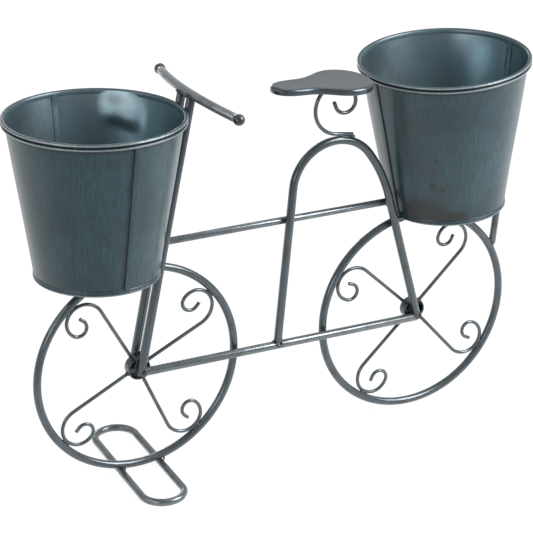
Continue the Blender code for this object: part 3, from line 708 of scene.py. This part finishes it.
def wall_marks(beyond, height, past):
    """Darker towards the bottom, painted shade beside one side of each seam and a painted shadow under the
    rim.
    Inside, painted shade along the seams' edges and a thin coat that grows barer upwards.
    """
    if beyond < -pot_sheet * 0.55:
        return 0.12 * band(abs(past), 0.0026, 0.0012), 0.0, 0.55 + 0.4 * ease((height - 0.05) / 0.07)
    low = ease(1 - (height - 0.004) / 0.02)
    # Painted shade on one side of each seam's ridge, and a painted shadow under the rim.
    seam = band(past, -0.0034, 0.0026)
    shadow_under_rim = ease(1 - (pot_height - rim_depth - height) / 0.004)
    return 0.25 * low + 0.7 * seam + 0.75 * shadow_under_rim, 0.0, 0.0


def seam_marks(beyond, height, past):
    """Glaze and painted shade along the fold's edges, where it meets the wall; fainter on the inner fold."""
    inner = 1.0 if beyond < -pot_sheet * 0.6 else 0.0
    edge = ease((abs(past) - 0.0021) / 0.0004)
    return (0.9 - 0.55 * inner) * edge, 0.0, 0.9 * inner


def rim_marks(beyond, height, past):
    """Glaze and painted shade in the rim's groove, a painted shadow under it, and a painted highlight
    along its two rolls, where the paint is also worn pale.
    """
    middle = pot_height - rim_depth / 2
    outer = 0.0 if beyond < -0.0006 else 1.0
    under = ease(1 - (height - pot_height + rim_depth) / 0.001)
    # under is a painted shadow below the lower bead, and ridge a painted highlight along both rolls.
    ridge = band(abs(height - middle), 0.0018, 0.0009)
    return max(band(height, middle, 0.0011), under) * outer, 0.85 * ridge * outer, 0.35 * (1 - outer)


def base_marks(beyond, height, past):
    """Glaze and painted shade where the base is pinched to the wall, and a painted highlight on its foot,
    where the paint is also worn pale.
    """
    outer = 0.0 if beyond < -pot_sheet * 0.6 and height > 0.0036 else 1.0
    # Painted shade in the two creases where the base grips the wall, and a painted highlight on the foot
    # below.
    pinch_glaze_and_shade = band(height, 0.0021, 0.0006) + band(height, 0.0047, 0.0006)
    return 0.9 * min(pinch_glaze_and_shade, 1.0) * outer, 0.8 * band(height, 0.0008, 0.0006) * outer, 0.6 * (1 - outer)


def seam_strip(shape, seat, angle, low, high, width, inner, outer):
    """A folded strip along the wall, inner to outer metres off the sheet's outer face."""
    steps = 44
    wrap = shape.verts.layers.float_vector["wrap"]
    outward = Vector((cos(angle), sin(angle), 0))
    across = Vector((-outward.y, outward.x, 0))
    crease = 0.3 * (outer - inner)
    profile = rounded([(-width / 2, inner), (width / 2, inner), (width / 2, outer), (-width / 2, outer)],
                      crease, 3)
    rows = []
    for i in range(steps + 1):
        height = low + (high - low) * i / steps
        drift = 0.00008 * sin(height * 210 + angle) + 0.00006 * sin(height * 510)
        radius = pot_foot_radius + pot_slope * height
        radius += wall_push(angle, height, (degrees(angle),))
        row = []
        for t, n in profile:
            spot = outward * (radius + n) + across * (t + drift) + Vector((0, 0, height))
            vert = shape.verts.new(seat @ spot)
            vert[wrap] = spot
            row.append(vert)
        rows.append(row)
    skin(shape, rows)
    shape.faces.new(rows[0][::-1])
    shape.faces.new(rows[-1])


def arc(middle, radius, first_deg, count):
    """Points of a section round a middle, clockwise."""
    angles = [radians(first_deg - 13.5 * i) for i in range(count)]
    return [tuple(middle + radius * Vector((cos(a), sin(a)))) for a in angles]


# The wall's section goes up its outer side, over the top and down its inner side.
low, high = 0.0012, pot_height - 0.0012
heights = [low + (high - low) * i / 48 for i in range(49)]
thin = pot_sheet / cos(atan(pot_slope))
wall_section = [(pot_foot_radius + pot_slope * h, h) for h in heights]
wall_section += [(pot_foot_radius + pot_slope * h - thin, h) for h in reversed(heights)]

# The rolled rim's goes over the top roll, the groove and the lower bead, and back inside.
roll = 0.0012
groove = pot_height - rim_depth / 2
foot = pot_height - rim_depth
inner = pot_top_radius - pot_sheet - 0.00005
top = Vector((rim_radius - roll, pot_height - roll))
bead = Vector((rim_radius - roll, foot + roll))
rim_section = [
    (inner - pot_slope * 0.0016, pot_height - 0.0016), (inner + 0.00012, pot_height - 0.0006),
    (inner + 0.0005, pot_height - 0.00022), (inner + 0.001, pot_height - 0.00008), *arc(top, roll, 92, 12),
    (rim_radius - 0.0019, groove + 0.0003), (rim_radius - 0.002, groove),
    (rim_radius - 0.0019, groove - 0.0003),
    *arc(bead, roll, 56, 11), (pot_top_radius - pot_slope * rim_depth - 0.0001, foot),
    (inner - pot_slope * 0.004, foot + 0.0016)]

# The base's is its floor, the inner foot of the wall, and the channel round the wall's edge.
inner = pot_foot_radius - pot_sheet
disc = ((0, 0), (0.02, 0), (0.0215, 0.00025), (0.023, 0), (inner - 0.0016, 0), (inner - 0.0006, 0.0003),
        (inner + 0.0002, 0.0009))
hem = ((0.00045, 0.004), (0.00012, 0.0035), (0.00005, 0.0029), (0.00025, 0.0024), (0.0004, 0.0021),
       (0.00018, 0.0017), (0, 0.0012), (0.00008, 0.0006), (0.00045, 0.00015), (0.001, 0))
under = ((0.0006, 0), (0.001, 0.0003), (0.0011, 0.0009), (0.0012, 0.0026), (0.0018, 0.003))
base_section = [
    *[(radius, floor_height + rise) for radius, rise in disc],
    (inner + 0.0003, 0.0046), (pot_foot_radius + 0.00075, 0.0047), (pot_foot_radius + 0.0009, 0.0043),
    *[(hem_radius - depth, height) for depth, height in hem],
    *[(inner - depth, height) for depth, height in under], (0, 0.003)]

seats = {}
for mount in frame["record"]["mounts"]:
    lean = Vector(mount["axis"])
    tilt = Matrix.Rotation(atan2(lean.x, lean.z), 4, "Y") @ Matrix.Rotation(-asin(lean.y), 4, "X")
    seat = Matrix.Translation(Vector(mount["pos_m"]) - floor_height * lean) @ tilt
    seats[mount["name"].split("_")[0]] = seat

front_smudges = ((258, 0.112, 0.016, 0.006, 0.25),)
rear_smudges = (
    (218, 0.012, 0.023, 0.017, 1), (243, 0.007, 0.018, 0.008, 1), (228, 0.037, 0.0035, 0.005, 1),
    (236, 0.034, 0.0025, 0.0035, 1), (205, 0.1, 0.008, 0.05, 0.45), (232, 0.062, 0.002, 0.003, 0.8))
for end, seams, dents, smudges in (
        ("front", (94, 274), ((47, 0.1095, 0.0019, 0.023, 0.024),), front_smudges),
        ("rear", (5, 185), (), rear_smudges)):
    seat = seats[end]
    wall = lathed(end + "_wall", wall_section, 288, pot_paint, seat,
                  lambda angle, height: wall_push(angle, height, seams, dents))
    finish_pot(wall, end, ("shell_1", "shell_2"), seams, wall_marks, smudges)

    strips = bmesh.new()
    strips.verts.layers.float_vector.new("wrap")
    for seam_deg in seams:
        for low, high, width, inner, outer in (
                (0.0042, pot_height - rim_depth + 0.0006, 0.005, -0.0006, 0.0007),
                (floor_height, pot_height - 0.0018, 0.0048, -pot_sheet - 0.00095, -pot_sheet + 0.0003)):
            seam_strip(strips, seat, radians(seam_deg), low, high, width, inner, outer)
    bmesh.ops.recalc_face_normals(strips, faces=strips.faces)
    folded = shaped_piece(end + "_lock_seams", strips, pot_paint, 50)
    finish_pot(folded, end, ("seam_1", "seam_2"), seams, seam_marks)

    rim = lathed(end + "_rolled_rim", rim_section, 288, pot_paint, seat)
    finish_pot(rim, end, ("rim",), seams, rim_marks)
    base = lathed(end + "_pressed_base", base_section, 240, pot_paint, seat)
    finish_pot(base, end, ("base",), seams, base_marks)


# Strut: a short steel rod that steadies the rear pot. It runs from the outside of the rear ring up
# to the pot's hem and is welded at both ends.
strut_rod = 0.006
strut_low, strut_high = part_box("rear_pot_strut")
strut_foot_rise = strut_low.z + 0.0016 - rear_axle.z
strut_foot = rear_axle + Vector((sqrt(ring_outside ** 2 - strut_foot_rise ** 2), 0, strut_foot_rise))
strut_top = Vector((strut_high.x - strut_rod / 2, rear_axle.y, strut_high.z - 0.0002))
settle(bent_bar("strut_rod", [strut_foot, strut_top], strut_rod), "rear_pot_strut")


# Welds: short fillets of weld metal run round each joint, then painted over with the frame.
# The tree lays one drop after another along each run, and the drops are fused into one bead.
def weld_drops():
    """Lays drops of metal along runs of edges, no two of quite the same size."""
    tree, given = new_tree("weld_drops", "Beads", {"Runs": "Geometry", "Drop": "Float", "Pitch": "Float",
                                                   "Seed": "Int", "Finish": "Material"})
    runs = add(tree, "GeometryNodeMeshToCurve", {0: given["Runs"]})
    dots = add(tree, "GeometryNodeCurveToPoints", {0: runs, "Length": given["Pitch"]}, mode="LENGTH")
    drop = add(tree, "GeometryNodeMeshIcoSphere", {"Radius": given["Drop"], "Subdivisions": 2})
    size = add(tree, "FunctionNodeRandomValue", {
        0: (0.78, 0.78, 0.78), 1: (1.12, 1.12, 1.12), "Seed": given["Seed"]}, data_type="FLOAT_VECTOR")
    laid = add(tree, "GeometryNodeInstanceOnPoints", {"Points": dots, "Instance": drop, "Scale": size})
    return end_tree(tree, laid, given["Finish"])


def weld_ring(contact, normal, long_way, long_radius, short_radius):
    """An oval run round a contact, flat across its normal."""
    long_way = (long_way - normal * long_way.dot(normal)).normalized()
    short_way = normal.cross(long_way)
    count = 20
    return [contact + long_way * (long_radius * cos(a)) + short_way * (short_radius * sin(a))
            for a in [tau * i / count for i in range(count + 1)]]


def weld_round_end(foot, direction, radius, along, bar_point, bar_radius):
    """A run round a bar's end where it stands on the side of another bar."""
    direction, along = direction.normalized(), along.normalized()
    side = direction.cross(along).normalized()
    other = side.cross(direction)
    run = []
    for i in range(25):
        a = tau * i / 24
        spot = foot + radius * (cos(a) * other + sin(a) * side)
        off = spot - bar_point
        across = off - along * off.dot(along)
        lift = direction - along * direction.dot(along)
        b = across.dot(lift)
        c = across.dot(across) - bar_radius ** 2
        root = max(b * b - lift.dot(lift) * c, 0.0)
        run.append(spot + direction * ((-b + sqrt(root)) / lift.dot(lift)))
    return run


up = Vector((0, 0, 1))
back = Vector((1, 0, 0))
left = Vector((0, -1, 0))
small_runs, big_runs = [], []
quarter = Matrix.Rotation(-pi / 2, 3, "Y")
for end, angles_deg in spoke_angles_deg.items():
    for angle_deg in angles_deg:
        for way_deg, reach, *radii in (
                (angle_deg, hub_radius + 0.0002, 0.0015, 0.0014),
                (angle_deg + touch_deg, ring_radius - ring_rod / 2, 0.0034, 0.0011)):
            outward = Matrix.Rotation(-radians(way_deg), 3, "Y") @ back
            spot = axles[end] + outward * reach
            small_runs.append(weld_ring(spot, outward, quarter @ outward, *radii))
lower_way = (tube_ends[1] - tube_ends[0]).normalized()
leg_way = Vector((fork_slope, 0, 1)).normalized()
bar_way = bar_points[17] - bar_points[15]
for sign in (-1, 1):
    top_point = on_frame(fork_slope * bar_height, sign * fork_half_gap, bar_height)
    on_bar = min(bar_points, key=lambda point: (point - top_point).length)
    big_runs.append(weld_round_end(top_point - leg_way * 0.004, -leg_way, fork_tube / 2 + 0.0002, bar_way,
                                   on_bar, bar_tube / 2 + 0.0002))
    hub_face = axle + Vector((0, sign * hub_half, 0))
    big_runs.append(weld_ring(hub_face + leg_way * 0.004, left, leg_way, 0.0085, 0.0036))
big_runs.append(weld_round_end(tube_ends[0], lower_way, fork_tube / 2, leg_way,
                               on_frame(0, side_plane, 0), fork_tube / 2))
arch_rear_way = (arch_points[1] - arch_points[0]).normalized()
arch_front_way = (arch_points[-2] - arch_points[-1]).normalized()
for foot, way in ((arch_points[0], arch_rear_way), (arch_front_foot, arch_front_way)):
    big_runs.append(weld_round_end(foot, way, fork_tube / 2 + 0.0001, lower_way, tube_ends[0], fork_tube / 2))
big_runs.append(weld_ring(rear_axle + Vector((0, -hub_half, -0.001)), left, arch_rear_way, 0.007, 0.0036))
cross_share = (arch_front_foot.x - top_front.x) / (top_rear.x - top_front.x)
cross = top_front.lerp(top_rear, cross_share) + back * 0.0135
near_side, off_arch = left * (top_rod / 2), scroll_turn @ up
small_runs += [weld_ring(*joint) for joint in (
    (top_front + near_side, left, leg_way, 0.0031, 0.0028),
    (top_rear + near_side, left, arch_rear_way, 0.0031, 0.0028),
    (cross + near_side, left, up, 0.0031, 0.0028),
    (top_front + Vector((0.001, top_rod / 2, 0)), left, leg_way, 0.003, 0.0026),
    (scroll_contact - scroll_turn @ Vector((-0.002, 0, scroll_wire / 2)), off_arch, back, 0.0062, 0.0016),
    (scroll_points[0] - scroll_turn @ Vector((0.0004, 0, scroll_wire / 2)), off_arch, back, 0.0022, 0.0018),
    (scroll_top + up * scroll_wire / 2, up, back, 0.005, 0.0016))]
for sign in (-1, 1):
    cross_x = loop_middle.x + sign * loop_radius
    drop = sqrt(ring_outside ** 2 - (cross_x - axle.x) ** 2)
    spot = Vector((cross_x, axle.y, axle.z - drop))
    small_runs.append(weld_ring(spot, (spot - axle).normalized(), left, 0.0042, 0.0026))
strut_side = (strut_foot - rear_axle).normalized()
hem_back = seats["rear"] @ Vector((hem_radius, -0.0015, 0.002))
small_runs += [weld_ring(strut_foot + Vector((-0.0012, 0, 0.001)), strut_side, up, 0.0045, 0.0024),
               weld_ring(hem_back, back, up, 0.003, 0.0022)]
hem_front = seats["rear"] @ Vector((-hem_radius * 0.987, -hem_radius * 0.16, 0.002))
big_runs.append([hem_front + Vector(step) for step in (
    (-0.0005, -0.0006, 0.002), (-0.0014, -0.0012, -0.0005), (-0.0006, -0.0004, -0.0018), (0.0006, 0, 0))])
for end, seat in seats.items():
    over = seat.translation.y - axles[end].y
    half = sqrt(hem_radius ** 2 - over ** 2)
    for sign in (-1, 1):
        x = seat.translation.x + sign * half
        inside = ring_outside ** 2 - (x - axles[end].x) ** 2
        z = axles[end].z + sqrt(max(inside, 0))
        if abs((seat @ Vector((sign * half, -over, 0))).z - z) < 0.004:
            small_runs.append(weld_ring(Vector((x, axles[end].y, z + 0.0004)), up, back, 0.002, 0.0026))

weld_tree = weld_drops()
for name, runs, drop, dirt, seed in (
        ("fine", small_runs, 0.00085, 0.4, 7), ("broad", big_runs, 0.00125, 0.8, 11)):
    mesh = bpy.data.meshes.new("weld_runs")
    points, edges = [], []
    for run in runs:
        edges += [(len(points) + i, len(points) + i + 1) for i in range(len(run) - 1)]
        points += run
    mesh.from_pydata(points, edges, [])
    thing = put_in("weld_" + name, mesh)
    run_tree(thing, weld_tree, {"Drop": drop, "Pitch": drop * 0.75, "Seed": seed, "Finish": frame_paint})
    fuse = thing.modifiers.new("fuse", "REMESH")
    fuse.mode = "VOXEL"
    fuse.voxel_size = 0.0004
    fuse.use_smooth_shade = True
    bead = as_plain_mesh(thing, 180)
    bead.data.materials.clear()
    bead.data.materials.append(frame_paint)
    store(bead, "dirt", dirt)
    settle(bead)


# Studio: a white paper floor under large soft boxes, the strongest on the right. The photographer's
# side of the room is a little dimmer, and so are the floor and the air there.
def seen_or_lit(tree, lit, seen):
    """Shows one shader to the camera and in shiny or clear surfaces, and lights by another."""
    rays = add(tree, "ShaderNodeLightPath").outputs
    share = rays["Is Camera Ray"]
    for ray in ("Is Glossy Ray", "Is Transmission Ray"):
        share = add(tree, "ShaderNodeMath", {0: share, 1: rays[ray]}, operation="MAXIMUM")
    return add(tree, "ShaderNodeMixShader", {0: share, 1: lit, 2: seen})


def dimmer_near(tree, space, near, far, least, most):
    """A strength that grows with the depth away from the photographer's side."""
    place = add(tree, "ShaderNodeTexCoord").outputs[space]
    depth = add(tree, "ShaderNodeVectorMath", {0: place, 1: away}, operation="DOT_PRODUCT").outputs["Value"]
    return add(tree, "ShaderNodeMapRange", {0: depth, 1: near, 2: far, 3: least, 4: most},
               interpolation_type="SMOOTHSTEP")


turn = radians(27.517)
away = (sin(turn), cos(turn), 0)
floor_paint = bpy.data.materials.new("white_paper_sweep")
floor_paint.use_nodes = True
tree = floor_paint.node_tree
tree.nodes.clear()
# The floor's glow is painted dimmer towards the photographer's side: painted shade that the pots reflect.
fade = dimmer_near(tree, "Object", -0.45, -0.165, 0.5, 0.93)
paper = add(tree, "ShaderNodeBsdfDiffuse", {"Color": (0.8, 0.8, 0.8, 1)})
shadow = add(tree, "ShaderNodeBsdfDiffuse", {"Color": (0.16, 0.16, 0.16, 1)})
glow = add(tree, "ShaderNodeEmission", {"Color": (1, 1, 1, 1), "Strength": fade})
shown = add(tree, "ShaderNodeAddShader", {0: shadow, 1: glow})
add(tree, "ShaderNodeOutputMaterial", {0: seen_or_lit(tree, paper, shown)})
mesh = bpy.data.meshes.new("studio_floor")
half = 8.0
corners = [(-half, -half, 0), (half, -half, 0), (half, half, 0), (-half, half, 0)]
mesh.from_pydata(corners, [], [(0, 1, 2, 3)])
mesh.materials.append(floor_paint)
floor = put_in("studio_floor", mesh)

world = bpy.data.worlds.new("studio")
bpy.context.scene.world = world
world.use_nodes = True
tree = world.node_tree
tree.nodes.clear()
fade = dimmer_near(tree, "Generated", -0.85, -0.1, 0.35, 0.6)
white = add(tree, "ShaderNodeBackground", {"Color": (1, 1, 1, 1), "Strength": fade})
dim = add(tree, "ShaderNodeBackground", {"Color": (0.9, 0.95, 1, 1), "Strength": 0.18})
add(tree, "ShaderNodeOutputWorld", {0: seen_or_lit(tree, dim, white)})

aim = Vector((0, 0, 0.16))
for name, way, distance, width, height, power in (
        ("right_box", (0.77, -0.63, 0.78), 1.3, 0.9, 0.8, 21.5),
        ("left_box", (-0.95, -0.05, 0.6), 1.3, 1.0, 0.7, 2.5),
        ("low_box", (-0.84, -0.54, 0.2), 1.3, 0.6, 0.3, 2.2),
        ("back_box", (0.15, 0.97, 0.19), 1.6, 0.5, 0.16, 2.0),
        ("top_box", (0.3, 0.2, 0.9), 1.3, 0.6, 0.6, 1.5)):
    lamp = bpy.data.lights.new(name, "AREA")
    lamp.shape = "RECTANGLE"
    lamp.size = width
    lamp.size_y = height
    lamp.energy = power
    thing = put_in(name, lamp)
    thing.location = aim + Vector(way).normalized() * distance
    thing.rotation_euler = (thing.location - aim).to_track_quat("Z", "Y").to_euler()

# Camera: where the photograph was taken from, about 1.9 m away, found from the wheel rings and the
# pots' rims.
tilt, roll = radians(24.301), radians(-0.231)
camera_place = axle + Vector((-0.68788, -1.5463, 0.85088))
look = Vector((sin(turn) * cos(tilt), cos(turn) * cos(tilt), -sin(tilt)))
level = Vector((cos(turn), -sin(turn), 0))
square = level.cross(look)
right = level * cos(roll) + square * sin(roll)
upward = square * cos(roll) - level * sin(roll)
lens = bpy.data.cameras.new("camera")
lens.sensor_width = 36
lens.lens = 158.43
lens.clip_end = 50
camera = put_in("camera", lens)
turned = Matrix((right, upward, -look)).transposed().to_4x4()
camera.matrix_world = Matrix.Translation(camera_place) @ turned
bpy.context.scene.camera = camera
bpy.context.scene.view_settings.view_transform = "Standard"
